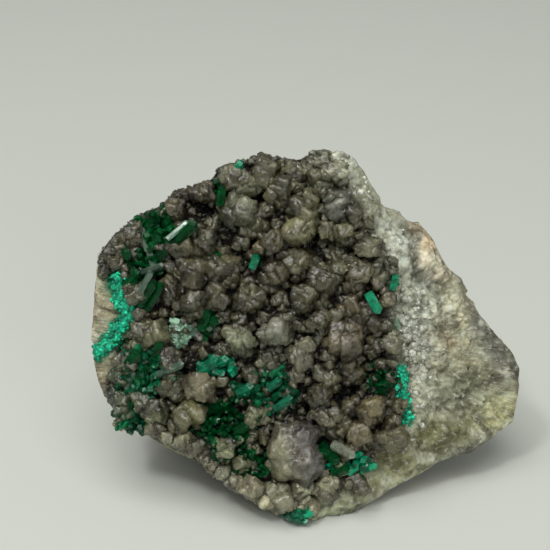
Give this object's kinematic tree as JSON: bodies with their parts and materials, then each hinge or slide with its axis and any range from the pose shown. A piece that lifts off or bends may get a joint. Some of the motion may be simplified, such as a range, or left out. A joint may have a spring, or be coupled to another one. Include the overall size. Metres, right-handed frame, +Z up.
{
  "type": "dioptase on calcite mineral specimen",
  "caption": "Loose block of pale, worn rock with a druse of smoky calcite crystals on its front, set with tufts and granular seams of emerald-green dioptase.",
  "frame": {"origin": "on the flat foot that the block rests on, under the middle of the block", "axes": "+Z up, the druse faces -Y and the bare pointed end of the rock is at +X"},
  "size_m": [0.0893, 0.0534, 0.0658],
  "materials": {
    "rock": "rough broken rock, cream to olive grey, with a sugary sparkling rim beside the druse",
    "calcite": "translucent smoky grey-brown calcite, faces stepped and slightly frosted, glassy glints",
    "dioptase": "see-through emerald-green crystals with bright flat faces, paler green where they are fine-grained"
  },
  "bodies": {
    "root": {"matrix": "rock", "calcite_crust": "calcite", "dioptase_upper_left": "dioptase", "dioptase_left_blades": "dioptase", "dioptase_left_rim": "dioptase", "dioptase_top_notch": "dioptase", "dioptase_top_edge": "dioptase", "dioptase_heart": "dioptase", "dioptase_left_heart": "dioptase", "dioptase_centre_left": "dioptase", "dioptase_mint": "dioptase", "dioptase_lower_left": "dioptase", "dioptase_left_foot": "dioptase", "dioptase_middle": "dioptase", "dioptase_centre": "dioptase", "dioptase_hollow": "dioptase", "dioptase_bottom_hollow": "dioptase", "dioptase_right_hollow": "dioptase", "dioptase_lower_right": "dioptase", "dioptase_leaf": "dioptase", "dioptase_right_edge": "dioptase", "dioptase_tip": "dioptase", "dioptase_seam_left": "dioptase", "dioptase_seam_right": "dioptase"}
  },
  "joints": []
}
